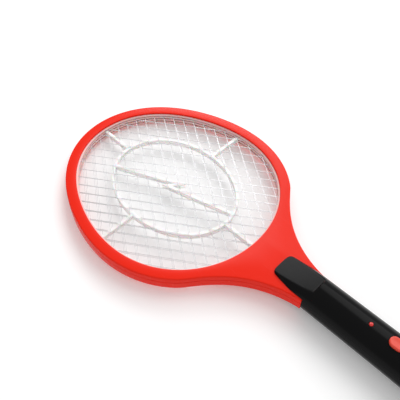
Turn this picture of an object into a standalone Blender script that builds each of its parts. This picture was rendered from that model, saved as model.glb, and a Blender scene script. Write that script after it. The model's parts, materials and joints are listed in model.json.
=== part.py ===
"""Battery insect racket: oval head with three wire nets, black tube handle, push button and battery cover.

The racket lies on its back. +X runs from the tip of the head to the butt of the handle, +Z is up out of
the button's side, and the origin is under the middle of the racket, on the surface it lies on.
"""

import math

import bmesh
import bpy
from mathutils import Vector

MM = 0.001
GAP = 0.3 * MM

# Driving dimensions
LENGTH = 455 * MM
OPENING_RADIUS = 81 * MM
RIM_WIDTH = 8.6 * MM
LIP_HEIGHT = 4.6 * MM
BACK_DEPTH = 7.6 * MM
HANDLE_RADIUS = 13.6 * MM
BUTT_RADIUS = 16 * MM
HANDLE_START = 141 * MM
CELL_RADIUS = 7.25 * MM
CELL_LENGTH = 50.5 * MM
WHEEL_RING_HALF_LENGTH = 56 * MM
WHEEL_RING_HALF_WIDTH = 43.5 * MM
BAR_HALF_WIDTH = 1.4 * MM

# Heights are measured from the handle's axis, and lengths from the middle of the opening
AXIS_Z = BUTT_RADIUS
WALL = 2.0 * MM
FACE_WALL = 1.2 * MM
SPLIT = 0.15 * MM
NET_MIDDLE = (LIP_HEIGHT - BACK_DEPTH) / 2
NET_THICKNESS = 0.6 * MM
SPACER_THICKNESS = 1.7 * MM
RING_THICKNESS = 1.2 * MM
NET_EDGE = 3.6 * MM
STRAND_ANGLE = math.radians(34.5)
STRAND_PITCH = 24.6 * MM
STRAND_WIDTH = 1.0 * MM
OVAL_STEPS = 48
NECK_HALF_WIDTH = 13.4 * MM
STUB_END = 156 * MM
STUB_HALF_WIDTH = 9.2 * MM
STUB_HALF_HEIGHT = 4.3 * MM
STUB_WALL = 1.8 * MM
TONGUE_START = 111.4 * MM
FACET_END = 145 * MM
FRONT_FACET_TOP = 11.4 * MM
REAR_FACET_TOP = 13.3 * MM
COVER_START = 252 * MM
BUTTON_X = 206 * MM
LIGHT_X = 186 * MM
BOARD_START = 168 * MM
BOARD_END = 232 * MM
BOARD_TOP = 0.8 * MM
HANDLE_SCREWS = (163 * MM, 238 * MM)
NECK_SCREW_X = 126 * MM
SHELL_SCREW_X = 101 * MM
SHELL_SCREW_Y = 17 * MM
SCREW_RADIUS = 1.2 * MM
BULKHEAD_X = 244.4 * MM
TUBE_STEPS = 28
# Small turns that keep the facets of bosses and holes clear of the facets they pass through
BOSS_TWIST = math.radians(4)
HOLE_TWIST = math.radians(9.5)

BLACK = (0.015, 0.015, 0.016)
RED = (0.83, 0.06, 0.02)
MILKY = (0.86, 0.86, 0.84)
STEEL = (0.6, 0.6, 0.62)
ALUMINIUM = (0.72, 0.73, 0.74)


def opening_radius(angle):
    """Radius of the head's opening: a rounded oval, widest towards the handle."""
    wave = 0.023 * math.cos(angle) + 0.064 * math.cos(2 * angle) - 0.026 * math.cos(3 * angle)
    return OPENING_RADIUS * (1 + wave)


HEAD_X = -LENGTH / 2 + opening_radius(math.pi) + RIM_WIDTH
HANDLE_END = LENGTH / 2 - HEAD_X


def clear_scene():
    for obj in list(bpy.data.objects):
        bpy.data.objects.remove(obj, do_unlink=True)


def new_collection(name):
    collection = bpy.data.collections.new(name)
    bpy.context.scene.collection.children.link(collection)
    return collection


def add_material(obj, colour, roughness, metallic=0.0):
    material = bpy.data.materials.new(obj.name)
    material.use_nodes = True
    surface = material.node_tree.nodes["Principled BSDF"]
    surface.inputs["Base Color"].default_value = (*colour, 1)
    surface.inputs["Roughness"].default_value = roughness
    surface.inputs["Metallic"].default_value = metallic
    obj.data.materials.clear()
    obj.data.materials.append(material)


def new_object(name, data):
    """An object in the racket's collection, placed so that its data counts from the opening's middle."""
    obj = bpy.data.objects.new(name, data)
    obj.location = (HEAD_X, 0, AXIS_Z)
    PARTS.objects.link(obj)
    return obj


def finish_mesh(obj):
    """Closes the seams of a new mesh, turns its faces outwards and shades it."""
    bm = bmesh.new()
    bm.from_mesh(obj.data)
    bmesh.ops.remove_doubles(bm, verts=bm.verts, dist=1e-6)
    bmesh.ops.recalc_face_normals(bm, faces=bm.faces)
    bm.to_mesh(obj.data)
    bm.free()
    obj.data.shade_smooth()
    obj.data.set_sharp_from_angle(angle=math.radians(35))


def flat(name, loops, low, high):
    """A plate between two heights, from an outline and the outlines of its holes."""
    curve = bpy.data.curves.new(name, "CURVE")
    curve.dimensions = "2D"
    curve.fill_mode = "BOTH"
    curve.extrude = (high - low) / 2
    for loop in loops:
        spline = curve.splines.new("POLY")
        spline.points.add(len(loop) - 1)
        for point, (x, y) in zip(spline.points, loop):
            point.co = (x, y, 0, 1)
        spline.use_cyclic_u = True
    guide = new_object(name + ".outline", curve)
    bpy.context.view_layer.update()
    graph = bpy.context.evaluated_depsgraph_get()
    mesh = bpy.data.meshes.new_from_object(guide.evaluated_get(graph))
    bpy.data.objects.remove(guide)
    obj = new_object(name, mesh)
    obj.location.z += (low + high) / 2
    finish_mesh(obj)
    return obj


def turned(name, profile, steps=TUBE_STEPS, at=(0, 0, 0), axis="X"):
    """A turned piece: profile points are (distance along the axis, radius), from the low end to the high."""
    mesh = bpy.data.meshes.new(name)
    points = [(radius, 0, along) for along, radius in reversed(profile)]
    mesh.from_pydata(points, [(i, i + 1) for i in range(len(points) - 1)], [])
    obj = new_object(name, mesh)
    obj.location += Vector(at)
    obj.rotation_euler.y = math.pi / 2 if axis == "X" else 0
    screw = obj.modifiers.new("turn", "SCREW")
    screw.axis = "Z"
    screw.steps = screw.render_steps = steps
    screw.use_merge_vertices = True
    screw.merge_threshold = 1e-5
    screw.use_smooth_shade = True
    return obj


def rod(name, radius, low, high, at=(0, 0, 0), axis="Z", steps=12):
    return turned(name, [(low, 0), (low, radius), (high, radius), (high, 0)], steps, at, axis)


def box(name, low, high):
    mesh = bpy.data.meshes.new(name)
    bm = bmesh.new()
    bmesh.ops.create_cube(bm, size=1)
    for vertex in bm.verts:
        vertex.co = [a + (b - a) * (c + 0.5) for a, b, c in zip(low, high, vertex.co)]
    bm.to_mesh(mesh)
    bm.free()
    return new_object(name, mesh)


def wire(name, points, radius):
    """A wire through the given points, eased into a smooth run."""
    curve = bpy.data.curves.new(name, "CURVE")
    curve.dimensions = "3D"
    curve.bevel_depth = radius
    curve.bevel_resolution = 1
    curve.use_fill_caps = True
    run = smooth_run([Vector(point) for point in points])
    spline = curve.splines.new("POLY")
    spline.points.add(len(run) - 1)
    for point, place in zip(spline.points, run):
        point.co = (*place, 1)
    return new_object(name, curve)


def smooth_run(points):
    """Two rounds of corner cutting, which keep the two ends where they are."""
    for _ in range(2):
        middle = []
        for a, b in zip(points, points[1:]):
            middle += [a.lerp(b, 0.25), a.lerp(b, 0.75)]
        points = [points[0], *middle[1:-1], points[-1]]
    return points


def combine(target, tools, operation):
    """Joins, cuts or crops the target with all the tools at once, which become hidden helpers."""
    group = bpy.data.collections.new(f"{target.name}.{operation.lower()}")
    HELPERS.children.link(group)
    for tool in tools:
        tool.hide_render = True
        tool.display_type = "WIRE"
        PARTS.objects.unlink(tool)
        group.objects.link(tool)
    modifier = target.modifiers.new(operation.title(), "BOOLEAN")
    modifier.operation = operation
    modifier.solver = "EXACT"
    modifier.operand_type = "COLLECTION"
    modifier.collection = group


def join(target, *tools):
    combine(target, tools, "UNION")


def cut(target, *tools):
    combine(target, tools, "DIFFERENCE")


def oval(offset=0.0):
    """The opening's outline, moved outwards by an offset."""
    loop = []
    for step in range(OVAL_STEPS):
        angle = 2 * math.pi * step / OVAL_STEPS
        radius = opening_radius(angle) + offset
        loop.append((radius * math.cos(angle), radius * math.sin(angle)))
    return loop


def bezier(a, b, c, d, steps):
    for step in range(1, steps + 1):
        t = step / steps
        s = 1 - t
        yield a * s**3 + b * 3 * s * s * t + c * 3 * s * t * t + d * t**3


def head_outline():
    """The head's outer outline: the rim round the opening, and a neck that flares into it."""
    start = math.radians(42.3)
    rim = []
    steps = 28
    for step in range(steps + 1):
        angle = start + (math.pi - start) * step / steps
        radius = opening_radius(angle) + RIM_WIDTH
        rim.append(Vector((radius * math.cos(angle), radius * math.sin(angle))))
    leave = (rim[0] - rim[1]).normalized()
    neck_end = Vector((HANDLE_START - GAP, NECK_HALF_WIDTH))
    arrive = Vector((1, -0.14)).normalized()
    flare = list(bezier(rim[0], rim[0] + leave * 10 * MM, neck_end - arrive * 48 * MM, neck_end, 12))
    upper = flare[::-1] + rim
    lower = [Vector((p.x, -p.y)) for p in upper[-2::-1]]
    return upper + lower


def inset(loop, distance):
    """A closed outline moved inwards, each point along its own normal."""
    moved = []
    for i, point in enumerate(loop):
        along = (loop[(i + 1) % len(loop)] - loop[i - 1]).normalized()
        moved.append(point + Vector((-along.y, along.x)) * distance)
    return moved


def neck_pocket():
    """The hollow inside a head shell: the outline less its wall, with a plain end in the neck."""
    end = HANDLE_START - GAP - WALL
    loop = [point for point in inset(head_outline(), WALL) if point.x < end]
    half = NECK_HALF_WIDTH - WALL
    return [(end, half), *[tuple(p) for p in loop], (end, -half)]


def head_shell(name, low, high, face_up):
    """One half of the head: a face with the oval opening, an outer wall, and a stub for the handle."""
    overlap = SPLIT + MM
    plate_low, plate_high = (low - overlap, high) if face_up else (low, high + overlap)
    shell = flat(name, [[tuple(p) for p in head_outline()], oval()], plate_low, plate_high)
    reach = STUB_HALF_HEIGHT
    stub = box(name + ".stub", (HANDLE_START - WALL, -STUB_HALF_WIDTH, -reach),
               (STUB_END, STUB_HALF_WIDTH, reach))
    pocket_low = -3 * MM if face_up else low + FACE_WALL
    pocket_high = high - FACE_WALL if face_up else 3 * MM
    pocket = flat(name + ".pocket", [neck_pocket()], pocket_low, pocket_high)
    channel_half = STUB_HALF_WIDTH - STUB_WALL
    channel = box(name + ".channel", (HANDLE_START - 4 * WALL, -channel_half, FACE_WALL - reach),
                  (STUB_END + MM, channel_half, reach - FACE_WALL))
    join(shell, stub)
    cut(shell, pocket, channel)
    add_material(shell, RED, 0.3)
    return shell


def half_space(name, above):
    """A block that covers everything on one side of the plane where the two halves meet."""
    low, high = (-SPLIT, 40 * MM) if above else (-40 * MM, SPLIT)
    return box(name, (-110 * MM, -110 * MM, low), (HANDLE_END + 20 * MM, 110 * MM, high))


def boss(name, x, y, radius, low, high):
    pillar = rod(name, radius, low, high, at=(x, y, 0))
    pillar.rotation_euler.z = BOSS_TWIST
    return pillar


def drill(name, x, y, radius, low, high):
    tool = rod(name, radius, low, high, at=(x, y, 0))
    tool.rotation_euler.z = HOLE_TWIST
    return tool


def make_head_shells():
    front = head_shell("front_shell", SPLIT, LIP_HEIGHT, True)
    rear = head_shell("rear_shell", -BACK_DEPTH, -SPLIT, False)
    hole = SCREW_RADIUS + GAP
    top = LIP_HEIGHT - FACE_WALL / 2
    bottom = -BACK_DEPTH + FACE_WALL / 2
    front_bosses = [boss("front_boss_neck", NECK_SCREW_X, 0, 3.5 * MM, 0, top)]
    rear_bosses = [boss("rear_boss_neck", NECK_SCREW_X, 0, 3.5 * MM, bottom, 0)]
    front_holes = [drill("front_pilot_neck", NECK_SCREW_X, 0, hole, -2 * MM, LIP_HEIGHT + MM)]
    rear_holes = [drill("rear_pilot_neck", NECK_SCREW_X, 0, hole, -BACK_DEPTH - MM, 2 * MM)]
    for side, y in (("left", SHELL_SCREW_Y), ("right", -SHELL_SCREW_Y)):
        x = SHELL_SCREW_X
        front_bosses.append(boss(f"front_boss_{side}", x, y, 3 * MM, 0, top))
        front_holes.append(drill(f"front_pilot_{side}", x, y, hole, -2 * MM, 3.3 * MM))
        rear_bosses.append(boss(f"rear_boss_{side}", x, y, 4 * MM, bottom, 0))
        rear_holes.append(drill(f"rear_pilot_{side}", x, y, hole, -6 * MM, 2 * MM))
        rear_holes.append(drill(f"rear_sink_{side}", x, y, 2.7 * MM, -BACK_DEPTH - MM, -5.4 * MM))
    join(front, *front_bosses)
    cut(front, *front_holes, half_space("front_shell.below", False))
    join(rear, *rear_bosses)
    cut(rear, *rear_holes, half_space("rear_shell.above", True))


def clip(loop, normal, limit):
    """The part of a closed outline where its dot product with a normal is under a limit."""
    kept = []
    for a, b in zip(loop, loop[1:] + loop[:1]):
        reach_a, reach_b = a.dot(normal) - limit, b.dot(normal) - limit
        if reach_a <= 0:
            kept.append(a)
        if (reach_a < 0) != (reach_b < 0) and reach_a != reach_b:
            kept.append(a.lerp(b, reach_a / (reach_a - reach_b)))
    return kept


def net_holes(pitch):
    """The diamond holes of a net, each cropped by the net's oval border."""
    border = [Vector(point) for point in oval(-0.5 * MM)]
    across = Vector((-math.sin(STRAND_ANGLE), math.cos(STRAND_ANGLE)))
    along = Vector((math.sin(STRAND_ANGLE), math.cos(STRAND_ANGLE)))
    half = (pitch - STRAND_WIDTH) / 2
    reach = int(OPENING_RADIUS * 1.2 / pitch) + 1
    holes = []
    for i in range(-reach, reach):
        for j in range(-reach, reach):
            loop = border
            for normal, row in ((across, i), (along, j)):
                middle = (row + 0.5) * pitch
                loop = clip(loop, normal, middle + half) if loop else loop
                loop = clip(loop, -normal, half - middle) if loop else loop
            if len(loop) > 2 and outline_area(loop) > 12 * MM * MM:
                holes.append([tuple(p) for p in loop])
    return holes


def outline_area(loop):
    return abs(sum(a.cross(b) for a, b in zip(loop, loop[1:] + loop[:1]))) / 2


def make_nets():
    for name, middle, pitch in (
        ("front_net", front_net_height(), STRAND_PITCH),
        ("live_net", NET_MIDDLE, STRAND_PITCH),
        ("rear_net", 2 * NET_MIDDLE - front_net_height(), STRAND_PITCH),
    ):
        low, high = middle - NET_THICKNESS / 2, middle + NET_THICKNESS / 2
        net = flat(name, [oval(NET_EDGE), *net_holes(pitch)], low, high)
        add_material(net, ALUMINIUM, 0.35, 1.0)


def front_net_height():
    return NET_MIDDLE + NET_THICKNESS + SPACER_THICKNESS + 2 * GAP


def strip(points, half_width):
    """The outline of a flat bar along a bent line."""
    points = [Vector(point) for point in points]
    left, right = [], []
    for i, point in enumerate(points):
        before = (point - points[i - 1]).normalized() if i else None
        after = (points[i + 1] - point).normalized() if i + 1 < len(points) else None
        along = ((before or after) + (after or before)).normalized()
        turn = along.dot(after or before)
        normal = Vector((-along.y, along.x)) * half_width / turn
        left.append(tuple(point + normal))
        right.append(tuple(point - normal))
    return left + right[::-1]


def ellipse(offset=0.0):
    """Plan of the wheel's inner ring, moved out by an offset."""
    loop = []
    for step in range(OVAL_STEPS):
        angle = 2 * math.pi * step / OVAL_STEPS
        loop.append(((WHEEL_RING_HALF_LENGTH + offset) * math.cos(angle),
                     (WHEEL_RING_HALF_WIDTH + offset) * math.sin(angle)))
    return loop


def make_spacer(name, low, high):
    """A wheel between two nets: a rim, four spokes, an oval ring, and a zig-zag bar across the ring."""
    step = 0.05 * MM
    ring = flat(name + ".ring", [ellipse(1.2 * MM), ellipse(-1.2 * MM)], low + step, high - step)
    spacer = flat(name, [oval(3.8 * MM), oval(-0.8 * MM)], low, high)
    starts = (WHEEL_RING_HALF_LENGTH, WHEEL_RING_HALF_WIDTH) * 2
    bars = [ring]
    for number, start in enumerate(starts):
        angle = math.pi / 2 * number
        toward = Vector((math.cos(angle), math.sin(angle)))
        ends = [toward * start, toward * (opening_radius(angle) + MM)]
        spoke = strip(ends, BAR_HALF_WIDTH)
        bars.append(flat(f"{name}.spoke_{number}", [spoke], low + 2 * step, high - 2 * step))
    zigzag = [(x * MM, y * MM) for x, y in ((-49.5, -20.5), (3, 3), (-3, -5), (54.5, 11))]
    bars.append(flat(name + ".zigzag", [strip(zigzag, BAR_HALF_WIDTH)], low + 3 * step, high - 3 * step))
    join(spacer, *bars)
    add_material(spacer, MILKY, 0.3)


def make_spacers_and_rings():
    inner = NET_THICKNESS / 2 + GAP
    make_spacer("front_spacer", NET_MIDDLE + inner, NET_MIDDLE + inner + SPACER_THICKNESS)
    make_spacer("rear_spacer", NET_MIDDLE - inner - SPACER_THICKNESS, NET_MIDDLE - inner)
    ring_high = LIP_HEIGHT - FACE_WALL - GAP
    ring_low = -BACK_DEPTH + FACE_WALL + GAP
    for name, low in (("front_ring", ring_high - RING_THICKNESS), ("rear_ring", ring_low)):
        ring = flat(name, [oval(4 * MM), oval(-1.2 * MM)], low, low + RING_THICKNESS)
        add_material(ring, MILKY, 0.3)


def handle_profile(inwards=0.0, start=HANDLE_START, overrun=0.0):
    """The handle's turned profile, which swells from the neck to a rounded butt."""
    end = HANDLE_END - (1.1 * MM if inwards else 0)
    swell = (
        (start - overrun, HANDLE_RADIUS),
        (205 * MM, HANDLE_RADIUS + 0.2 * MM),
        (260 * MM, HANDLE_RADIUS + 0.9 * MM),
        (315 * MM, HANDLE_RADIUS + 1.9 * MM),
        (340 * MM, BUTT_RADIUS),
        (HANDLE_END - 7 * MM, BUTT_RADIUS),
        (HANDLE_END - 2.4 * MM, BUTT_RADIUS - 1.6 * MM),
        (end, BUTT_RADIUS - 4.4 * MM),
    )
    body = [(along, radius - inwards) for along, radius in swell]
    return [(body[0][0], 0), *body, (body[-1][0], 0)]


def tongue_outline():
    """Plan of the nose that laps over the neck: a rounded front, spreading to the handle's full width."""
    half = ((0, 6.5), (0.4, 8.4), (2.2, 9.9), (9, 11.0), (17, 12.3), (23, 13.3), (28, 14.2), (46, 14.2))
    side = [(TONGUE_START + x * MM, y * MM) for x, y in half]
    return side + [(x, -y) for x, y in reversed(side)]


def make_nose(name, low, high):
    nose = flat(name, [tongue_outline()], low, high)
    around = rod(name + ".round", HANDLE_RADIUS, 100 * MM, 170 * MM, axis="X", steps=TUBE_STEPS)
    combine(nose, [around], "INTERSECT")
    return nose


def facet_cutter(name, start_height, end_height):
    """A prism outside the slanted facet, which starts on the tongue's front edge and ends in a step."""
    side = math.copysign(1, end_height)
    run = FACET_END - TONGUE_START
    before = start_height + (start_height - end_height) * 30 * MM / run
    outline = [
        (TONGUE_START - 30 * MM, before), (FACET_END, end_height),
        (FACET_END + 1.2 * MM, side * 20 * MM), (TONGUE_START - 30 * MM, side * 20 * MM),
    ]
    prism = flat(name, [outline], -20 * MM, 20 * MM)
    prism.rotation_euler.x = math.pi / 2
    return prism


def oblong(half_length, half_width, steps=8):
    loop = []
    for middle, start in ((half_length - half_width, -math.pi / 2), (half_width - half_length, math.pi / 2)):
        for step in range(steps + 1):
            angle = start + math.pi * step / steps
            loop.append((BUTTON_X + middle + half_width * math.cos(angle), half_width * math.sin(angle)))
    return loop


def wire_notch(name, side):
    low_y, high_y = sorted((side * 8.4 * MM, side * 11.4 * MM))
    return box(name, (BULKHEAD_X - MM, low_y, -5 * MM), (BULKHEAD_X + 3 * MM, high_y, 5 * MM))


def tube(name, side):
    """The whole handle as a turned tube before it is split, its bulkhead, and the notches for the wires."""
    shell = turned(name, handle_profile())
    cut(shell, turned(side + "_cavity", handle_profile(WALL, overrun=MM)))
    bulkhead_end = BULKHEAD_X + 1.6 * MM
    bulkhead = rod(side + "_bulkhead", 13 * MM, BULKHEAD_X, bulkhead_end, axis="X", steps=TUBE_STEPS)
    notches = [wire_notch(side + "_notch_left", 1), wire_notch(side + "_notch_right", -1)]
    return shell, bulkhead, notches


def make_handle_front():
    shell, bulkhead, cuts = tube("handle_front_shell", "front")
    adds = [bulkhead, make_nose("front_nose", LIP_HEIGHT + GAP, 15 * MM)]
    start = LIP_HEIGHT + 1.2 * MM
    cuts += [half_space("front_other_half", False), facet_cutter("front_facet", start, FRONT_FACET_TOP)]
    for number, x in enumerate(HANDLE_SCREWS, 1):
        adds.append(boss(f"front_handle_boss_{number}", x, 0, 3 * MM, -MM, 12.6 * MM))
        cuts.append(drill(f"front_handle_pilot_{number}", x, 0, SCREW_RADIUS + GAP, -2 * MM, 7 * MM))
    cuts.append(drill("front_nose_pilot", NECK_SCREW_X, 0, SCREW_RADIUS + GAP, LIP_HEIGHT - MM, 7.4 * MM))
    cuts.append(drill("light_hole", LIGHT_X, 0, 1.8 * MM, 8 * MM, 18 * MM))
    cuts.append(flat("button_hole", [oblong(6.1 * MM, 4.2 * MM)], 6 * MM, 18 * MM))
    join(shell, *adds)
    cut(shell, *cuts)
    add_material(shell, BLACK, 0.35)


def make_handle_rear():
    shell, bulkhead, cuts = tube("handle_rear_shell", "rear")
    adds = [bulkhead, make_nose("rear_nose", -15 * MM, -BACK_DEPTH - GAP)]
    start = -BACK_DEPTH - 1.3 * MM
    cuts += [half_space("rear_other_half", True), facet_cutter("rear_facet", start, -REAR_FACET_TOP)]
    for number, x in enumerate(HANDLE_SCREWS, 1):
        adds.append(boss(f"rear_handle_boss_{number}", x, 0, 4.2 * MM, -12.6 * MM, MM))
        cuts.append(drill(f"rear_handle_pilot_{number}", x, 0, SCREW_RADIUS + GAP, -9 * MM, 2 * MM))
        cuts.append(drill(f"rear_handle_sink_{number}", x, 0, 3 * MM, -16 * MM, -7.3 * MM))
    cuts.append(drill("rear_nose_pilot", NECK_SCREW_X, 0, SCREW_RADIUS + GAP, -10 * MM, -BACK_DEPTH + MM))
    cuts.append(drill("rear_nose_sink", NECK_SCREW_X, 0, 3 * MM, -14 * MM, -9.3 * MM))
    beyond = HANDLE_END + 20 * MM
    cuts.append(box("cover_gap", (COVER_START, -40 * MM, -40 * MM), (beyond, 40 * MM, 10 * MM)))
    join(shell, *adds)
    cut(shell, *cuts)
    add_material(shell, BLACK, 0.35)


def make_battery_cover():
    cover = turned("battery_cover", handle_profile())
    start = COVER_START + GAP
    cavity = turned("cover_cavity", handle_profile(WALL, overrun=MM))
    cut_off = box("cover_front", (100 * MM, -40 * MM, -40 * MM), (start, 40 * MM, 40 * MM))
    cut(cover, cavity, half_space("cover_other_half", True), cut_off)
    root = box("cover_latch_root", (start + 0.2 * MM, -4 * MM, -13 * MM),
               (start + 5 * MM, 4 * MM, -9.4 * MM))
    latch = box("cover_latch", (start - 4.6 * MM, -3.6 * MM, -11 * MM),
                (start + 3 * MM, 3.6 * MM, -9.8 * MM))
    join(cover, root, latch)
    add_material(cover, BLACK, 0.4)


def make_button():
    cap = flat("button_cap", [oblong(5.8 * MM, 3.9 * MM)], 9.2 * MM, 15.2 * MM)
    join(cap, flat("button_flange", [oblong(7.2 * MM, 5 * MM)], 8.8 * MM, 9.9 * MM),
         rod("button_stem", 1.9 * MM, 5.7 * MM, 9.4 * MM, at=(BUTTON_X, 0, 0)))
    add_material(cap, RED, 0.35)
    plunger = rod("switch_plunger", 1.6 * MM, 3.2 * MM, 5.4 * MM, at=(BUTTON_X, 0, 0))
    add_material(plunger, BLACK, 0.5)
    half = 3.1 * MM
    body = box("switch_body", (BUTTON_X - half, -half, BOARD_TOP + GAP), (BUTTON_X + half, half, 4.6 * MM))
    cut(body, drill("switch_bore", BUTTON_X, 0, 2 * MM, 1.9 * MM, 6 * MM))
    add_material(body, (0.05, 0.05, 0.055), 0.5)
    spring = coil("button_spring", (BUTTON_X, 0), 3 * MM, 0.3 * MM, 5.25 * MM, 8.2 * MM, 3)
    add_material(spring, STEEL, 0.3, 1.0)


def coil(name, centre, radius, wire_radius, low, high, turns):
    """A coil spring that stands on Z, flat at its ends."""
    points = []
    steps = turns * 12
    for step in range(steps + 1):
        angle = 2 * math.pi * step / 12
        rise = min(max((step - 6) / (steps - 12), 0), 1)
        points.append((centre[0] + radius * math.cos(angle), centre[1] + radius * math.sin(angle),
                       low + (high - low) * rise))
    curve = bpy.data.curves.new(name, "CURVE")
    curve.dimensions = "3D"
    curve.bevel_depth = wire_radius
    curve.bevel_resolution = 1
    curve.use_fill_caps = True
    spline = curve.splines.new("POLY")
    spline.points.add(steps)
    for point, place in zip(spline.points, points):
        point.co = (*place, 1)
    return new_object(name, curve)


def make_light():
    lens = turned("indicator_led", [(10.2 * MM, 0), (10.2 * MM, 1.5 * MM), (13.6 * MM, 1.5 * MM),
                                    (14.4 * MM, 1.1 * MM), (14.8 * MM, 0)], 16, (LIGHT_X, 0, 0), "Z")
    add_material(lens, (0.7, 0.03, 0.02), 0.1)
    spacer = rod("led_spacer", 2.3 * MM, BOARD_TOP + GAP, 9.9 * MM, at=(LIGHT_X, 0, 0))
    cut(spacer, drill("led_spacer_bore", LIGHT_X, 0, 1.1 * MM, 0, 12 * MM))
    add_material(spacer, MILKY, 0.4)


def make_board():
    board = box("circuit_board", (BOARD_START, -9.5 * MM, -BOARD_TOP), (BOARD_END, 9.5 * MM, BOARD_TOP))
    add_material(board, (0.02, 0.16, 0.06), 0.4)
    seat = BOARD_TOP + GAP
    middle = 176 * MM
    core = box("transformer_core", (middle - 6.5 * MM, -6 * MM, seat + 1.6 * MM),
               (middle + 6.5 * MM, 6 * MM, seat + 6.6 * MM))
    windows = []
    for side, low_y in (("left", 1.6 * MM), ("right", -4.3 * MM)):
        high_y = low_y + 2.7 * MM
        windows.append(box(f"core_window_{side}", (middle - 4.5 * MM, low_y, 0),
                           (middle + 4.5 * MM, high_y, 12 * MM)))
    cut(core, *windows)
    add_material(core, (0.03, 0.03, 0.032), 0.6)
    winding = box("transformer_winding", (middle - 4.1 * MM, -3.7 * MM, seat),
                  (middle + 4.1 * MM, 3.7 * MM, seat + 8.2 * MM))
    cut(winding, box("winding_bore", (middle - 6 * MM, -1.9 * MM, seat + 1.3 * MM),
                     (middle + 6 * MM, 1.9 * MM, seat + 6.9 * MM)))
    add_material(winding, (0.75, 0.6, 0.08), 0.5)
    capacitor = box("hv_capacitor", (189.8 * MM, -5 * MM, seat), (197.4 * MM, 5 * MM, seat + 7.4 * MM))
    edges = capacitor.modifiers.new("rounded", "BEVEL")
    edges.width = MM
    edges.segments = 2
    add_material(capacitor, (0.5, 0.1, 0.03), 0.35)
    transistor = rod("transistor", 2.4 * MM, seat, seat + 5 * MM, at=(219 * MM, 3 * MM, 0))
    cut(transistor, box("transistor_flat", (210 * MM, 4.4 * MM, 0), (230 * MM, 9 * MM, 12 * MM)))
    add_material(transistor, BLACK, 0.5)
    axial = (("diode_1", 176, 5, 1.2), ("diode_2", 186, 5, 1.2), ("diode_3", 196, 5, 1.2),
             ("bleed_resistor", 210, 5, 1.4), ("limit_resistor", 210, -5, 1.4))
    lead = 0.35
    for name, x, y, radius in axial:
        half = [(2.2, radius), (2.6, lead), (5, lead), (5, 0)]
        profile = [(-along * MM, r * MM) for along, r in reversed(half)]
        profile += [(along * MM, r * MM) for along, r in half]
        piece = turned(name, profile, 10, (x * MM, y * MM, -BOARD_TOP - GAP - radius * MM))
        add_material(piece, BLACK if name[0] == "d" else (0.75, 0.62, 0.4), 0.5)


def make_cells():
    first = 250.8 * MM
    for number in (1, 2):
        start = first + (number - 1) * (CELL_LENGTH + GAP)
        end = start + CELL_LENGTH
        cell = turned(f"battery_{number}", [
            (start, 0), (start, 5 * MM), (start + 0.3 * MM, CELL_RADIUS),
            (end - 1.9 * MM, CELL_RADIUS), (end - 1.4 * MM, CELL_RADIUS - 0.8 * MM),
            (end - 1.4 * MM, 2.75 * MM), (end, 2.5 * MM), (end, 0)], 20)
        add_material(cell, (0.05, 0.1, 0.25), 0.35)
    plate_start = first + 2 * CELL_LENGTH + 2 * GAP
    plate = rod("positive_contact", 6 * MM, plate_start, plate_start + 0.6 * MM, axis="X")
    add_material(plate, STEEL, 0.3, 1.0)
    spring = coil("battery_spring", (0, 0), 4.4 * MM, 0.4 * MM, 0, 3.1 * MM, 2)
    spring.rotation_euler.y = math.pi / 2
    spring.location.x += BULKHEAD_X + 2.4 * MM
    add_material(spring, STEEL, 0.3, 1.0)


def make_wires():
    front_z = front_net_height()
    rear_z = 2 * NET_MIDDLE - front_z
    start = BOARD_START - 0.8 * MM
    runs = {
        "front_net_lead": ((start, 6, 1), (158, 6, 1.6), (140, 6, 1.6), (124, 6, 1.4), (104, 5, 1.3)),
        "live_net_lead": ((start, -6, 1.4), (158, -6, 1.6), (140, -6, 1.6), (122, -7, 0.5), (104, -8, -1.6)),
        "rear_net_lead": (
            (start, -6, -1.2), (158, -6, -1.6), (140, -6, -1.6), (122, -5.5, -3.4), (104, -4, -4.6)),
    }
    ends = {"front_net_lead": (5, front_z), "live_net_lead": (-8, NET_MIDDLE), "rear_net_lead": (-4, rear_z)}
    for name, run in runs.items():
        first, *rest = run
        points = [(first[0], first[1] * MM, first[2] * MM)]
        points += [(x * MM, y * MM, z * MM) for x, y, z in rest]
        end_y, end_z = ends[name]
        points.append((91 * MM, end_y * MM, end_z))
        add_material(wire(name, points, 0.7 * MM), (0.6, 0.05, 0.04), 0.5)
    edge = (BOARD_END / MM) + 0.8
    positive = (
        (edge, 6, 1.2), (239, 9.6, 2.4), (250, 10, 3), (300, 10.2, 3.2), (346, 10.2, 3), (352.8, 7.2, 1))
    negative = ((edge, -6, 1.2), (239, -9.6, 1.6), (247, -9.6, 1.6), (247.3, -5.9, 0.4))
    leads = (("positive_wire", positive, (0.6, 0.04, 0.03)), ("negative_wire", negative, BLACK))
    for name, run, colour in leads:
        points = [(x * MM, y * MM, z * MM) for x, y, z in run]
        add_material(wire(name, points, 0.7 * MM), colour, 0.5)


def make_screw(name, x, y, head_low, tip, head_radius=2.4 * MM, head_height=1.7 * MM):
    """A pan-head screw that points up, with a plain cross recess left to its finish."""
    seat = head_low + head_height
    screw = turned(name, [
        (head_low, 0), (head_low, head_radius * 0.7), (head_low + 0.5 * MM, head_radius),
        (seat, head_radius), (seat, SCREW_RADIUS), (tip - 1.2 * MM, SCREW_RADIUS), (tip, 0),
    ], 12, (x, y, 0), "Z")
    add_material(screw, STEEL, 0.3, 1.0)


def make_screws():
    for number, x in enumerate(HANDLE_SCREWS, 1):
        make_screw(f"handle_screw_{number}", x, 0, -9.3 * MM, 6.5 * MM)
    make_screw("neck_screw", NECK_SCREW_X, 0, -11.3 * MM, 7 * MM)
    for side, y in (("left", SHELL_SCREW_Y), ("right", -SHELL_SCREW_Y)):
        make_screw(f"shell_screw_{side}", SHELL_SCREW_X, y, -7.4 * MM, 3 * MM)


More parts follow.
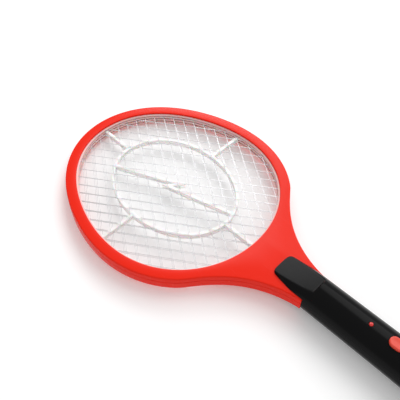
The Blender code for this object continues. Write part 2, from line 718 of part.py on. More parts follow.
clear_scene()
PARTS = new_collection("insect_racket")
HELPERS = new_collection("helpers")
HELPERS.hide_render = True
make_head_shells()
make_spacers_and_rings()
make_nets()
make_handle_front()
make_handle_rear()
make_battery_cover()
make_button()
make_light()
make_board()
make_cells()
make_wires()
make_screws()
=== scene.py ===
import json
import math

import bmesh
import bpy
from bpy.props import FloatProperty, FloatVectorProperty, IntProperty, PointerProperty
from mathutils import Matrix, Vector


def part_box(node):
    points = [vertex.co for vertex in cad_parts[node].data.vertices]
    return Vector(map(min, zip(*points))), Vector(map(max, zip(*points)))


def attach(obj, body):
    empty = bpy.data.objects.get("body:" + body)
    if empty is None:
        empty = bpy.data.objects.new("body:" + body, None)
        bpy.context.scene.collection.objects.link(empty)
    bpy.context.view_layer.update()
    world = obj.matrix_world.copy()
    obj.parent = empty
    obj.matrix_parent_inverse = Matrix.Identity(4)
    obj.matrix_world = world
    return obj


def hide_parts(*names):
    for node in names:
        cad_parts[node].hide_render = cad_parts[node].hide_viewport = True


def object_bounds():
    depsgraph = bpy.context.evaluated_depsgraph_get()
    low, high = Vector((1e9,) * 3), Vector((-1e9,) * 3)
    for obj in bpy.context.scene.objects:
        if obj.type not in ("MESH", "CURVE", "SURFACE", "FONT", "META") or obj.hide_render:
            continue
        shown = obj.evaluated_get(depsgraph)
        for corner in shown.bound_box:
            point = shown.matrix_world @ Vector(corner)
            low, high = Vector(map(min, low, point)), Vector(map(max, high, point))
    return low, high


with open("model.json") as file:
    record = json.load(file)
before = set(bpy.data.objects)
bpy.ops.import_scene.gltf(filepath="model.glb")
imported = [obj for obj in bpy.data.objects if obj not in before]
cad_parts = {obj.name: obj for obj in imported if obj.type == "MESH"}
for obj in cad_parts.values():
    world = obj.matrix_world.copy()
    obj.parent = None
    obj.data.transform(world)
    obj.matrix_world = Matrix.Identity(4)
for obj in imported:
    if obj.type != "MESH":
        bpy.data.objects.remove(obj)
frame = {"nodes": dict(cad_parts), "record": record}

bl_info = {
    "name": "Battery insect racket",
    "version": (1, 0, 0),
    "blender": (4, 5, 0),
    "location": "3D View > Sidebar > Racket",
    "description": "Builds the finish pieces of a battery insect racket round its packed frame",
    "category": "Object",
}

MM = 0.001
CAD_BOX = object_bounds()
RIM_WIDTH = 8.6 * MM
LIP_HEIGHT = 4.6 * MM
BACK_DEPTH = 7.6 * MM
FACE_WALL = 1.2 * MM
WALL = 2.0 * MM
SPLIT = 0.15 * MM
GAP = 0.3 * MM
HANDLE_RADIUS = 13.6 * MM
BUTT_RADIUS = 16 * MM
HANDLE_START = 141 * MM
NECK_HALF_WIDTH = 13.4 * MM
NECK_ANGLE = math.radians(42.3)
WHEEL_RING_HALF_LENGTH = 56 * MM
WHEEL_RING_HALF_WIDTH = 43.5 * MM
TONGUE_START = 111.4 * MM
NOSE_EDGE = LIP_HEIGHT + GAP
FACET_END = 143.6 * MM
FACET_TOP = 11.4 * MM
REAR_FACET_TOP = 13.3 * MM
FACET_STEP = 1.3 * MM
ROOF = 1.2 * MM
COVER_START = 252 * MM
BULKHEAD = (244.4 * MM, 246 * MM)
NOTCH_SIDE = 8.4 * MM
NOTCH_TOP = 5 * MM
SLACK = 0.01 * MM
BUTTON_X = 206 * MM
LIGHT_X = 186 * MM
HANDLE_SCREWS = (163 * MM, 238 * MM)
NECK_SCREW_X = 126 * MM
SHELL_SCREW = (101 * MM, 17 * MM)
SHELL_SINK_RADIUS = 2.75 * MM
HANDLE_SINK_RADIUS = 3 * MM
# A facet height beyond any handle radius, for the stretches that have no facet
NO_FACET = 1.0
KEY_FROM = (0.05, 0.8, 0.95)
SOFT_BOX_FROM = (-0.6, 0.57, 0.54)
SOFT_BOX_AIM = (0.0, 0.0, 0.02)
SOFT_BOX_DISTANCE = 0.9
SOFT_BOX_SIZE = 0.42
CAMERA_PLACE = (0.10383, -0.20650, 0.37625)
CAMERA_TURN = (math.radians(39.476), 0.0, math.radians(45.053))


def opening_radius(angle):
    """Distance from the opening's middle to its edge, for a slightly egg-shaped oval."""
    wave = 0.023 * math.cos(angle) + 0.064 * math.cos(2 * angle) - 0.026 * math.cos(3 * angle)
    return 81 * MM * (1 + wave)


HEAD_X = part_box("front_shell")[0].x + opening_radius(math.pi) + RIM_WIDTH
AXIS_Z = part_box("front_shell")[1].z - LIP_HEIGHT
HANDLE_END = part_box("handle_front_shell")[1].x - HEAD_X


# --- settings ---------------------------------------------------------------------------------------

def length(name, description, millimetres, low=0.0, high=50.0):
    return FloatProperty(name=name, description=description, default=millimetres * MM, min=low * MM,
                         max=high * MM, unit="LENGTH", precision=5)


def colour(name, description, value):
    return FloatVectorProperty(name=name, description=description, default=value, size=3, min=0.0,
                               max=1.0, subtype="COLOR")


def share(name, description, value):
    return FloatProperty(name=name, description=description, default=value, min=0.0, max=1.0,
                         subtype="FACTOR")


class HeadSettings(bpy.types.PropertyGroup):
    top_round: length("Top rounding", "Radius of the front shell's outer edge", 1.15)
    back_round: length("Back rounding", "Radius of the rear shell's outer edge", 1.9)
    lip_round: length("Lip rounding", "Radius of the edge round the opening", 0.45)
    seam_chamfer: length("Seam chamfer", "Chamfer beside the seam between the shells", 0.18)
    rim_stations: IntProperty(name="Rim stations", description="Cross-sections on half of the rim",
                              default=96, min=24, max=300)
    red: colour("Shell red", "Moulded colour of the head shells", (0.86, 0.021, 0.007))
    white: colour("Milky white", "Moulded colour of the wheels", (0.88, 0.88, 0.87))
    # The pink in this rim colour is a painted reflection: red light bouncing off the shells onto the white
    # rims, painted into their colour.
    red_bounce_tint: colour("Milky rim", "Colour of the thin white rims that the red shows through", (0.93, 0.6, 0.58))


class NetSettings(bpy.types.PropertyGroup):
    pitch: length("Pitch", "Distance between neighbouring strands", 8.2, 2)
    strand: length("Strand width", "Width of one flat strand", 0.35, 0.1, 3)
    thickness: length("Strand thickness", "Thickness of one flat strand", 0.34, 0.1, 1)
    angle: FloatProperty(name="Strand angle", description="Angle between the strands and the handle",
                         default=math.radians(34.5), subtype="ANGLE", unit="ROTATION")
    wire: colour("Wire", "Colour of the drawn wire", (0.68, 0.68, 0.69))


class HandleSettings(bpy.types.PropertyGroup):
    black: colour("Handle black", "Moulded colour of the handle", (0.004, 0.004, 0.0042))
    gloss: share("Handle roughness", "Roughness of the handle's skin", 0.2)
    edge_power: FloatProperty(name="Edge crispness", description="How crisp the facet's edges are",
                              default=52.0, min=8.0, max=120.0)
    button_red: colour("Button red", "Moulded colour of the push button", (0.8, 0.05, 0.02))


class StageSettings(bpy.types.PropertyGroup):
    floor_white: colour("Floor", "Colour of the floor", (0.93, 0.93, 0.93))
    glow: FloatProperty(name="Floor glow", description="Light that the lit floor gives off itself",
                        default=0.15, min=0.0)
    sky: FloatProperty(name="Sky strength", description="Strength of the even sky", default=0.6, min=0.0)
    key: FloatProperty(name="Key strength", description="Strength of the soft key light", default=1.1,
                       min=0.0)
    box: FloatProperty(name="Soft box power", description="Power of the round soft box behind the head",
                       default=2.3, min=0.0)
    key_spread: FloatProperty(name="Key spread", description="Apparent size of the key light",
                              default=math.radians(48), subtype="ANGLE", unit="ROTATION")
    lens: FloatProperty(name="Lens", description="Focal length of the camera in millimetres",
                        default=53.37, min=10.0, max=200.0)


# --- mesh tools -------------------------------------------------------------------------------------

def placed(point):
    """A point counted from the opening's middle and the handle's axis, in the row frame."""
    x, y, z = point
    return (x + HEAD_X, y, z + AXIS_Z)


def mesh_object(name, points, faces, crease=35.0):
    """A closed, welded object made of points and faces, smooth except over sharp edges."""
    mesh = bpy.data.meshes.new(name)
    mesh.from_pydata([placed(p) for p in points], [], faces)
    form = bmesh.new()
    form.from_mesh(mesh)
    bmesh.ops.remove_doubles(form, verts=form.verts, dist=0.002 * MM)
    bmesh.ops.recalc_face_normals(form, faces=form.faces)
    form.to_mesh(mesh)
    form.free()
    smooth(mesh, crease)
    obj = bpy.data.objects.new(name, mesh)
    bpy.context.scene.collection.objects.link(obj)
    return obj


def smooth(mesh, crease):
    """Shades a mesh smooth except over edges sharper than crease, in degrees."""
    mesh.shade_smooth()
    mesh.set_sharp_from_angle(angle=math.radians(crease))


def face_the_edge(obj, second, inside):
    """Gives a second material to the faces that lie further out than the opening's edge less inside."""
    obj.data.materials.append(second)
    for face in obj.data.polygons:
        spot = face.center - Vector(placed((0, 0, 0)))
        if math.hypot(spot.x, spot.y) > opening_radius(math.atan2(spot.y, spot.x)) - inside:
            face.material_index = 1


def finish(obj, material, body, slot, *nodes):
    """Gives a piece its material and its body, and hides the imported nodes that it stands for; the slot is
    not used.
    """
    obj.data.materials.clear()
    obj.data.materials.append(material)
    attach(obj, body)
    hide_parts(*nodes)
    return obj


def skin(rings, closed=False):
    """Faces between equal rings of points; open ends are closed with one face each."""
    count = len(rings[0])
    points = [p for ring in rings for p in ring]
    faces = []
    last = len(rings) if closed else len(rings) - 1
    for i in range(last):
        here, there = i * count, (i + 1) % len(rings) * count
        for j in range(count):
            k = (j + 1) % count
            faces.append((here + j, here + k, there + k, there + j))
    if not closed:
        faces.append(tuple(range(count))[::-1])
        faces.append(tuple(range((len(rings) - 1) * count, len(rings) * count)))
    return points, faces


def joined(parts):
    """Several (points, faces) pairs as one."""
    points, faces = [], []
    for some_points, some_faces in parts:
        shift = len(points)
        points += some_points
        faces += [tuple(i + shift for i in face) for face in some_faces]
    return points, faces


def quarter(radius, steps=4):
    """(inwards, downwards) pairs round a quarter circle, from the flat face to the wall."""
    pairs = []
    for step in range(steps + 1):
        turn = math.pi / 2 * step / steps
        pairs.append((radius * (1 - math.sin(turn)), radius * (1 - math.cos(turn))))
    return pairs


def rounded_bar(half_width, low, high, radius):
    """Cross-section of a bar with rounded edges, as (sideways, height) pairs."""
    section = []
    for side, level, first in ((1, high, True), (1, low, False), (-1, low, True), (-1, high, False)):
        up = 1 if level == high else -1
        corner = [(side * (half_width - inwards), level - up * down) for inwards, down in quarter(radius, 3)]
        section += corner if first else corner[::-1]
    return section


def loop_bar(loop, normals, half_width, low, high, radius=0.25 * MM):
    """A closed bar that follows a loop in plan."""
    section = rounded_bar(half_width, low, high, radius)
    rings = [[(p[0] + n[0] * s, p[1] + n[1] * s, z) for s, z in section] for p, n in zip(loop, normals)]
    return skin(rings, closed=True)


def path_bar(path, half_width, low, high, radius=0.25 * MM):
    """A bar with square ends that follows a bent line in plan."""
    section = rounded_bar(half_width, low, high, radius)
    rings = []
    for i, point in enumerate(path):
        before = (point - path[i - 1]).normalized() if i else None
        after = (path[i + 1] - point).normalized() if i + 1 < len(path) else None
        along = ((before or after) + (after or before)).normalized()
        stretch = 1 / along.dot(after or before)
        rings.append([(point.x - along.y * s * stretch, point.y + along.x * s * stretch, z)
                      for s, z in section])
    return skin(rings)


def round_pin(x, y, radius, low, high, steps=28):
    """An upright round pin, as points and faces."""
    turns = [2 * math.pi * step / steps for step in range(steps)]
    rings = [[(x + radius * math.cos(a), y + radius * math.sin(a), z) for a in turns] for z in (low, high)]
    return skin(rings)


def block(low, high):
    """A plain block between two corners, as points and faces."""
    rings = [[(x, low[1], low[2]), (x, high[1], low[2]), (x, high[1], high[2]), (x, low[1], high[2])]
             for x in (low[0], high[0])]
    return skin(rings)


def oblong_stack(levels, steps):
    """An upright oblong form at the button, from (half length, half width, height) levels."""
    rings = []
    for half_length, half_width, height in levels:
        ring = []
        for middle, start in ((half_length - half_width, -math.pi / 2),
                              (half_width - half_length, math.pi / 2)):
            for step in range(steps + 1):
                angle = start + math.pi * step / steps
                ring.append((BUTTON_X + middle + half_width * math.cos(angle),
                             half_width * math.sin(angle), height))
        rings.append(ring)
    return skin(rings)


def cut_holes(obj, cutters, crease=35.0):
    """Takes closed forms, given as points and faces, out of a piece."""
    helpers = []
    for number, (points, faces) in enumerate(cutters):
        helper = mesh_object(f"{obj.name}_cutter_{number}", points, faces)
        helpers.append(helper)
        cut = obj.modifiers.new(f"hole_{number}", "BOOLEAN")
        cut.operation = "DIFFERENCE"
        cut.solver = "EXACT"
        cut.object = helper
    bpy.context.view_layer.update()
    shape = obj.evaluated_get(bpy.context.evaluated_depsgraph_get())
    made = bpy.data.meshes.new_from_object(shape)
    obj.modifiers.clear()
    old = obj.data
    obj.data = made
    bpy.data.meshes.remove(old)
    made.name = obj.name
    smooth(made, crease)
    for helper in helpers:
        mesh = helper.data
        bpy.data.objects.remove(helper)
        bpy.data.meshes.remove(mesh)


# --- materials --------------------------------------------------------------------------------------

def effect_group(name, tint, numbers):
    """A node group with a tint and numbers as inputs, and a colour, a roughness and a height as outputs."""
    group = bpy.data.node_groups.new(name, "ShaderNodeTree")
    socket = group.interface.new_socket(name="Tint", in_out="INPUT", socket_type="NodeSocketColor")
    socket.default_value = tint
    for label, value in numbers.items():
        socket = group.interface.new_socket(name=label, in_out="INPUT", socket_type="NodeSocketFloat")
        socket.default_value = value
    group.interface.new_socket(name="Colour", in_out="OUTPUT", socket_type="NodeSocketColor")
    for label in ("Roughness", "Height"):
        group.interface.new_socket(name=label, in_out="OUTPUT", socket_type="NodeSocketFloat")
    return group


def node(tree, kind, **inputs):
    """A new node; keywords with capitals set its inputs, the others its properties."""
    made = tree.nodes.new(kind)
    for key, value in inputs.items():
        if key[0].isupper():
            made.inputs[key.replace("_", " ")].default_value = value
        else:
            setattr(made, key, value)
    return made


def remap(tree, from_low, from_high, to_low, to_high):
    """A node that carries one range of values over to another."""
    made = tree.nodes.new("ShaderNodeMapRange")
    made.inputs["From Min"].default_value = from_low
    made.inputs["From Max"].default_value = from_high
    made.inputs["To Min"].default_value = to_low
    made.inputs["To Max"].default_value = to_high
    return made


def moulded_skin_group():
    """Moulded plastic: cloudy tint, fine grain, edges that catch a little wear, and faint scuffs."""
    group = effect_group("Moulded_skin", (0.8, 0.8, 0.8, 1), {
        "Cloud": 0.05, "Grain size": 1400.0, "Polish": 0.3, "Scuff": 0.08, "Edge light": 0.15,
    })
    link = group.links.new
    enter = node(group, "NodeGroupInput")
    leave = node(group, "NodeGroupOutput")
    place = node(group, "ShaderNodeTexCoord")
    cloud = node(group, "ShaderNodeTexNoise", Scale=38.0, Detail=3.0, Roughness=0.6)
    grain = node(group, "ShaderNodeTexNoise", Detail=2.0, Roughness=0.5)
    stretch = node(group, "ShaderNodeMapping", Scale=(60.0, 900.0, 900.0), Rotation=(0.0, 0.0, 0.5))
    scratch = node(group, "ShaderNodeTexNoise", Scale=1.0, Detail=4.0, Roughness=0.65)
    link(place.outputs["Object"], cloud.inputs["Vector"])
    link(place.outputs["Object"], grain.inputs["Vector"])
    link(enter.outputs["Grain size"], grain.inputs["Scale"])
    link(place.outputs["Object"], stretch.inputs["Vector"])
    link(stretch.outputs["Vector"], scratch.inputs["Vector"])

    centred = node(group, "ShaderNodeMath", operation="SUBTRACT")
    centred.inputs[1].default_value = 0.5
    link(cloud.outputs["Fac"], centred.inputs[0])
    swing = node(group, "ShaderNodeMath", operation="MULTIPLY_ADD")
    link(centred.outputs[0], swing.inputs[0])
    link(enter.outputs["Cloud"], swing.inputs[1])
    swing.inputs[2].default_value = 1.0
    tinted = node(group, "ShaderNodeVectorMath", operation="SCALE")
    link(enter.outputs["Tint"], tinted.inputs[0])
    link(swing.outputs[0], tinted.inputs["Scale"])

    geometry = node(group, "ShaderNodeNewGeometry")
    edge = remap(group, 0.52, 0.6, 0.0, 1.0)
    link(geometry.outputs["Pointiness"], edge.inputs["Value"])
    worn = node(group, "ShaderNodeMath", operation="MULTIPLY")
    link(edge.outputs["Result"], worn.inputs[0])
    link(enter.outputs["Edge light"], worn.inputs[1])
    lit = node(group, "ShaderNodeMix", data_type="RGBA", blend_type="MIX")
    lit.inputs["B"].default_value = (0.92, 0.9, 0.88, 1)
    link(worn.outputs[0], lit.inputs["Factor"])
    link(tinted.outputs[0], lit.inputs["A"])
    link(lit.outputs["Result"], leave.inputs["Colour"])

    scuffs = remap(group, 0.55, 0.75, 0.0, 1.0)
    link(scratch.outputs["Fac"], scuffs.inputs["Value"])
    rough = node(group, "ShaderNodeMath", operation="MULTIPLY_ADD")
    link(scuffs.outputs["Result"], rough.inputs[0])
    link(enter.outputs["Scuff"], rough.inputs[1])
    link(enter.outputs["Polish"], rough.inputs[2])
    link(rough.outputs[0], leave.inputs["Roughness"])
    height = node(group, "ShaderNodeMath", operation="MULTIPLY_ADD")
    link(scuffs.outputs["Result"], height.inputs[0])
    height.inputs[1].default_value = -0.25
    link(grain.outputs["Fac"], height.inputs[2])
    link(height.outputs[0], leave.inputs["Height"])
    return group


def drawn_metal_group():
    """Drawn or plated metal: streaks along one way, dull spots, and a slightly uneven tint."""
    group = effect_group("Drawn_metal", (0.6, 0.6, 0.6, 1), {"Dull": 0.3, "Streak": 0.1})
    link = group.links.new
    enter = node(group, "NodeGroupInput")
    leave = node(group, "NodeGroupOutput")
    place = node(group, "ShaderNodeTexCoord")
    stretch = node(group, "ShaderNodeMapping", Scale=(300.0, 2600.0, 2600.0))
    streak = node(group, "ShaderNodeTexNoise", Scale=1.0, Detail=3.0)
    spots = node(group, "ShaderNodeTexNoise", Scale=420.0, Detail=4.0, Roughness=0.7)
    link(place.outputs["Object"], stretch.inputs["Vector"])
    link(stretch.outputs["Vector"], streak.inputs["Vector"])
    link(place.outputs["Object"], spots.inputs["Vector"])
    shade = remap(group, 0.3, 0.75, 1.06, 0.86)
    link(spots.outputs["Fac"], shade.inputs["Value"])
    tinted = node(group, "ShaderNodeVectorMath", operation="SCALE")
    link(enter.outputs["Tint"], tinted.inputs[0])
    link(shade.outputs["Result"], tinted.inputs["Scale"])
    link(tinted.outputs[0], leave.inputs["Colour"])
    rough = node(group, "ShaderNodeMath", operation="MULTIPLY_ADD")
    link(streak.outputs["Fac"], rough.inputs[0])
    link(enter.outputs["Streak"], rough.inputs[1])
    link(enter.outputs["Dull"], rough.inputs[2])
    link(rough.outputs[0], leave.inputs["Roughness"])
    link(streak.outputs["Fac"], leave.inputs["Height"])
    return group


def shared_group(name, make):
    """The shared effect of this name, made the first time that it is asked for."""
    return bpy.data.node_groups.get(name) or make()


def material(name, group, values, bump, **shader):
    """A material: one shader, one shared effect with its own values, and a bump of a given depth."""
    made = bpy.data.materials.new(name)
    made.use_nodes = True
    tree = made.node_tree
    surface = tree.nodes["Principled BSDF"]
    effect = tree.nodes.new("ShaderNodeGroup")
    effect.node_tree = group
    for key, value in values.items():
        effect.inputs[key].default_value = (*value, 1) if key == "Tint" else value
    dent = tree.nodes.new("ShaderNodeBump")
    dent.inputs["Strength"].default_value = 0.5
    dent.inputs["Distance"].default_value = bump
    tree.links.new(effect.outputs["Colour"], surface.inputs["Base Color"])
    tree.links.new(effect.outputs["Roughness"], surface.inputs["Roughness"])
    tree.links.new(effect.outputs["Height"], dent.inputs["Height"])
    tree.links.new(dent.outputs["Normal"], surface.inputs["Normal"])
    for key, value in shader.items():
        surface.inputs[key.replace("_", " ")].default_value = value
    made.diffuse_color = (*values["Tint"], 1)
    return made


def plastic(name, tint, polish=0.3, cloud=0.05, grain=1400.0, scuff=0.08, edge=0.1, bump=0.02, **shader):
    found = bpy.data.materials.get(name)
    values = {"Tint": tint, "Polish": polish, "Cloud": cloud, "Grain size": grain, "Scuff": scuff,
              "Edge light": edge}
    group = shared_group("Moulded_skin", moulded_skin_group)
    return found or material(name, group, values, bump * MM, **shader)


def metal(name, tint, dull=0.3, streak=0.12, bump=0.01):
    found = bpy.data.materials.get(name)
    values = {"Tint": tint, "Dull": dull, "Streak": streak}
    group = shared_group("Drawn_metal", drawn_metal_group)
    return found or material(name, group, values, bump * MM, Metallic=1.0)


def red_shell():
    red = tuple(bpy.context.scene.racket_head.red)
    return plastic("Satin_red_shell", red, polish=0.24, cloud=0.05, edge=0.0, Specular_IOR_Level=0.12)


def milky_white():
    white = tuple(bpy.context.scene.racket_head.white)
    # The emission is a painted glow: it brightens the wheels' shaded sides as if light passed through the
    # milky plastic.
    return plastic("Milky_white_ribs_painted_glow", white, polish=0.38, cloud=0.04, grain=900.0, edge=0.0,
                   Subsurface_Weight=0.5, Subsurface_Scale=2 * MM, Emission_Strength=0.06,
                   Emission_Color=(1, 1, 1, 1))


def milky_rim():
    # Milky plastic with a painted reflection: its pink tint stands in for red light bounced from the shells.
    red_bounce_tint = tuple(bpy.context.scene.racket_head.red_bounce_tint)
    return plastic("Milky_rim_painted_red_bounce", red_bounce_tint, polish=0.38, cloud=0.05, grain=900.0, edge=0.0,
                   Subsurface_Weight=0.4, Subsurface_Scale=1.5 * MM)


def black_handle():
    settings = bpy.context.scene.racket_handle
    return plastic("Black_handle_skin", tuple(settings.black), polish=settings.gloss, cloud=0.2, edge=0.0,
                   scuff=0.06, Specular_IOR_Level=0.085)


# --- head -------------------------------------------------------------------------------------------

def head_outline(stations):
    """Outer outline of the head: rim, flare to the neck and the neck's end, from the neck's upper corner."""
    start = NECK_ANGLE
    rim = []
    for step in range(stations + 1):
        angle = start + (math.pi - start) * step / stations
        radius = opening_radius(angle) + RIM_WIDTH
        rim.append(Vector((radius * math.cos(angle), radius * math.sin(angle))))
    leave = (rim[0] - rim[1]).normalized()
    corner = Vector((HANDLE_START - GAP, NECK_HALF_WIDTH))
    arrive = Vector((1, -0.14)).normalized()
    controls = (rim[0], rim[0] + leave * 10 * MM, corner - arrive * 48 * MM, corner)
    flare = []
    flare_steps = stations // 2
    for step in range(1, flare_steps + 1):
        t = step / flare_steps
        weights = ((1 - t) ** 3, 3 * t * (1 - t) ** 2, 3 * t * t * (1 - t), t**3)
        flare.append(sum((c * w for c, w in zip(controls, weights)), Vector((0, 0))))
    upper = flare[::-1] + rim
    lower = [Vector((p.x, -p.y)) for p in upper[-2::-1]]
    end_steps = 6
    end = [Vector((corner.x, corner.y * (2 * step / end_steps - 1))) for step in range(1, end_steps)]
    return upper + lower + end


def outward(loop):
    """Outward normal at each point of a closed loop that runs anticlockwise."""
    normals = []
    for i in range(len(loop)):
        along = (loop[(i + 1) % len(loop)] - loop[i - 1]).normalized()
        normals.append(Vector((along.y, -along.x)))
    return normals


def shell_section(settings, front):
    """Closed cross-section of a head shell, in rows of where it is counted from, offset and height."""
    face = LIP_HEIGHT if front else BACK_DEPTH
    outer_round = settings.top_round if front else settings.back_round
    chamfer = settings.seam_chamfer
    rows = [("in", 0.0, face - FACE_WALL)]
    rows += [("in", inwards, face - down) for inwards, down in reversed(quarter(settings.lip_round, 3))]
    rows += [("out", inwards, face - down) for inwards, down in quarter(outer_round, 5)]
    rows += [
        ("out", 0.0, SPLIT + chamfer),
        ("out", chamfer, SPLIT),
        ("out", WALL, SPLIT),
        ("out", WALL, face - FACE_WALL),
    ]
    return rows


def head_shell(name, front):
    settings = bpy.context.scene.racket_head
    outline = head_outline(settings.rim_stations)
    normals = outward(outline)
    side = 1 if front else -1
    rings = []
    for point, normal in zip(outline, normals):
        angle = math.atan2(point.y, point.x)
        toward = Vector((math.cos(angle), math.sin(angle)))
        edge = toward * opening_radius(angle)
        ring = []
        for origin, offset, height in shell_section(settings, front):
            spot = edge + toward * offset if origin == "in" else point - normal * offset
            ring.append((spot.x, spot.y, side * height))
        rings.append(ring)
    points, faces = skin(rings, closed=True)
    return mesh_object(name, points, faces, 38.0)


class RACKET_OT_head_shells(bpy.types.Operator):
    """Build the two red shells of the head, with their lip, seam and neck"""
    bl_idname = "racket.head_shells"
    bl_label = "Head shells"

    def execute(self, context):
        front = head_shell("head_front_shell", True)
        finish(front, red_shell(), "racket", "head_red", "front_shell")
        rear = head_shell("head_rear_shell", False)
        sinks = [round_pin(SHELL_SCREW[0], side * SHELL_SCREW[1], SHELL_SINK_RADIUS, -12 * MM, -5.6 * MM)
                 for side in (1, -1)]
        cut_holes(rear, sinks, 38.0)
        finish(rear, red_shell(), "racket", "head_red", "rear_shell")
        return {"FINISHED"}


def oval_loop(offset, steps=160):
    """The opening's outline moved out by an offset, and its outward normals."""
    loop = []
    for step in range(steps):
        angle = 2 * math.pi * step / steps
        radius = opening_radius(angle) + offset
        loop.append(Vector((radius * math.cos(angle), radius * math.sin(angle))))
    return loop, outward(loop)


class RACKET_OT_net_rings(bpy.types.Operator):
    """Build the thin white rings that hold the outer nets under the shells' lips"""
    bl_idname = "racket.net_rings"
    bl_label = "Net rings"

    def execute(self, context):
        for name in ("front_ring", "rear_ring"):
            low, high = (corner.z - AXIS_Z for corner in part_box(name))
            loop, normals = oval_loop(1.4 * MM)
            points, faces = loop_bar(loop, normals, 2.6 * MM, low, high, 0.3 * MM)
            ring = mesh_object("net_" + name, points, faces, 50.0)
            # The rings take the rim colour, whose pink is a painted reflection of the red shells.
            finish(ring, milky_rim(), "racket", "milky_white", name)
        return {"FINISHED"}


def wheel(low, high):
    """One spoked wheel: rim, oval ring, four spokes and the zig-zag bar."""
    rim, rim_normals = oval_loop(1.5 * MM)
    parts = [loop_bar(rim, rim_normals, 2.3 * MM, low, high)]
    ring = []
    for step in range(128):
        angle = 2 * math.pi * step / 128
        ring.append(Vector((WHEEL_RING_HALF_LENGTH * math.cos(angle),
                            WHEEL_RING_HALF_WIDTH * math.sin(angle))))
    step = 0.04 * MM
    parts.append(loop_bar(ring, outward(ring), 1.25 * MM, low + step, high - step, 0.3 * MM))
    for number, start in enumerate((WHEEL_RING_HALF_LENGTH, WHEEL_RING_HALF_WIDTH) * 2):
        angle = math.pi / 2 * number
        toward = Vector((math.cos(angle), math.sin(angle)))
        spoke = [toward * start, toward * (opening_radius(angle) + 0.6 * MM)]
        parts.append(path_bar(spoke, 1.35 * MM, low + 2 * step, high - 2 * step, 0.3 * MM))
    zigzag = [Vector((x, y)) * MM for x, y in ((-49.5, -20.5), (3, 3), (-3, -5), (54.5, 11))]
    parts.append(path_bar(zigzag, 1.35 * MM, low + 3 * step, high - 3 * step, 0.3 * MM))
    return joined(parts)


class RACKET_OT_wheels(bpy.types.Operator):
    """Build the two milky white wheels that keep the nets apart"""
    bl_idname = "racket.wheels"
    bl_label = "Spoked wheels"

    def execute(self, context):
        for name in ("front_spacer", "rear_spacer"):
            low, high = (corner.z - AXIS_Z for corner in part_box(name))
            points, faces = wheel(low, high)
            made = mesh_object(name + "_wheel", points, faces, 50.0)
            finish(made, milky_white(), "racket", "milky_white", name)
            # The wheels' outer edge takes the rim colour, whose pink is a painted reflection of the red
            # shells.
            face_the_edge(made, milky_rim(), 1.1 * MM)
        return {"FINISHED"}


def strand_run(origin, along, reach):
    """How far a strand goes each way before it meets the net's edge."""
    ends = []
    for way in (-1, 1):
        inside, outside = 0.0, 200 * MM
        for _ in range(30):
            middle = (inside + outside) / 2
            spot = origin + along * way * middle
            if spot.length < opening_radius(math.atan2(spot.y, spot.x)) + reach:
                inside = middle
            else:
                outside = middle
        ends.append(way * inside)
    return ends


def net(middle, phase, reach):
    """Flat strands in two directions, those of one way lying on those of the other."""
    settings = bpy.context.scene.racket_net
    half_width, half_thick = settings.strand / 2, settings.thickness / 2
    parts = []
    for way in (1, -1):
        angle = settings.angle * way
        along = Vector((math.cos(angle), math.sin(angle)))
        across = Vector((-along.y, along.x))
        level = middle + way * 0.07 * MM
        count = int(100 * MM / settings.pitch)
        for number in range(-count, count + 1):
            offset = (number + phase[0 if way > 0 else 1]) * settings.pitch
            origin = across * offset
            if origin.length > opening_radius(math.atan2(origin.y, origin.x)) + reach - 2 * MM:
                continue
            start, end = strand_run(origin, along, reach)
            line = [origin + along * start, origin + along * end]
            parts.append(path_bar(line, half_width, level - half_thick, level + half_thick, 0.1 * MM))
    return joined(parts)


class RACKET_OT_nets(bpy.types.Operator):
    """Build the three wire nets at their full pitch"""
    bl_idname = "racket.nets"
    bl_label = "Wire nets"

    def execute(self, context):
        wire = metal("Dull_net_wire", tuple(bpy.context.scene.racket_net.wire), dull=0.42)
        phases = {"front_net": (0.1, 0.35), "live_net": (0.43, 0.46), "rear_net": (0.75, 0.58)}
        for name, phase in phases.items():
            low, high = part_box(name)
            middle = (low.z + high.z) / 2 - AXIS_Z
            parts = [net(middle, phase, 3.4 * MM)]
            if name == "live_net":
                edge, normals = oval_loop(1.9 * MM)
                parts.append(loop_bar(edge, normals, 1.5 * MM, middle - 0.45 * MM, middle + 0.45 * MM))
            made = mesh_object(name + "_strands", *joined(parts), 40.0)
            finish(made, wire, "racket", "net_wire", name)
            # The dark colour on the hoop and strand ends at the live net's edge is painted shade, standing
            # in for the shadow in the slot where the nets meet the ring.
            if name == "live_net":
                face_the_edge(made, metal("Painted_shade_net_hoop", (0.05, 0.035, 0.04), dull=0.6), -0.2 * MM)
        return {"FINISHED"}


# --- handle -----------------------------------------------------------------------------------------

def along_points(pairs, x):
    """Value at x of a line through (x, value) pairs."""
    if x <= pairs[0][0]:
        return pairs[0][1]
    for (x0, v0), (x1, v1) in zip(pairs, pairs[1:]):
        if x <= x1:
            return v0 + (v1 - v0) * (x - x0) / (x1 - x0)
    return pairs[-1][1]


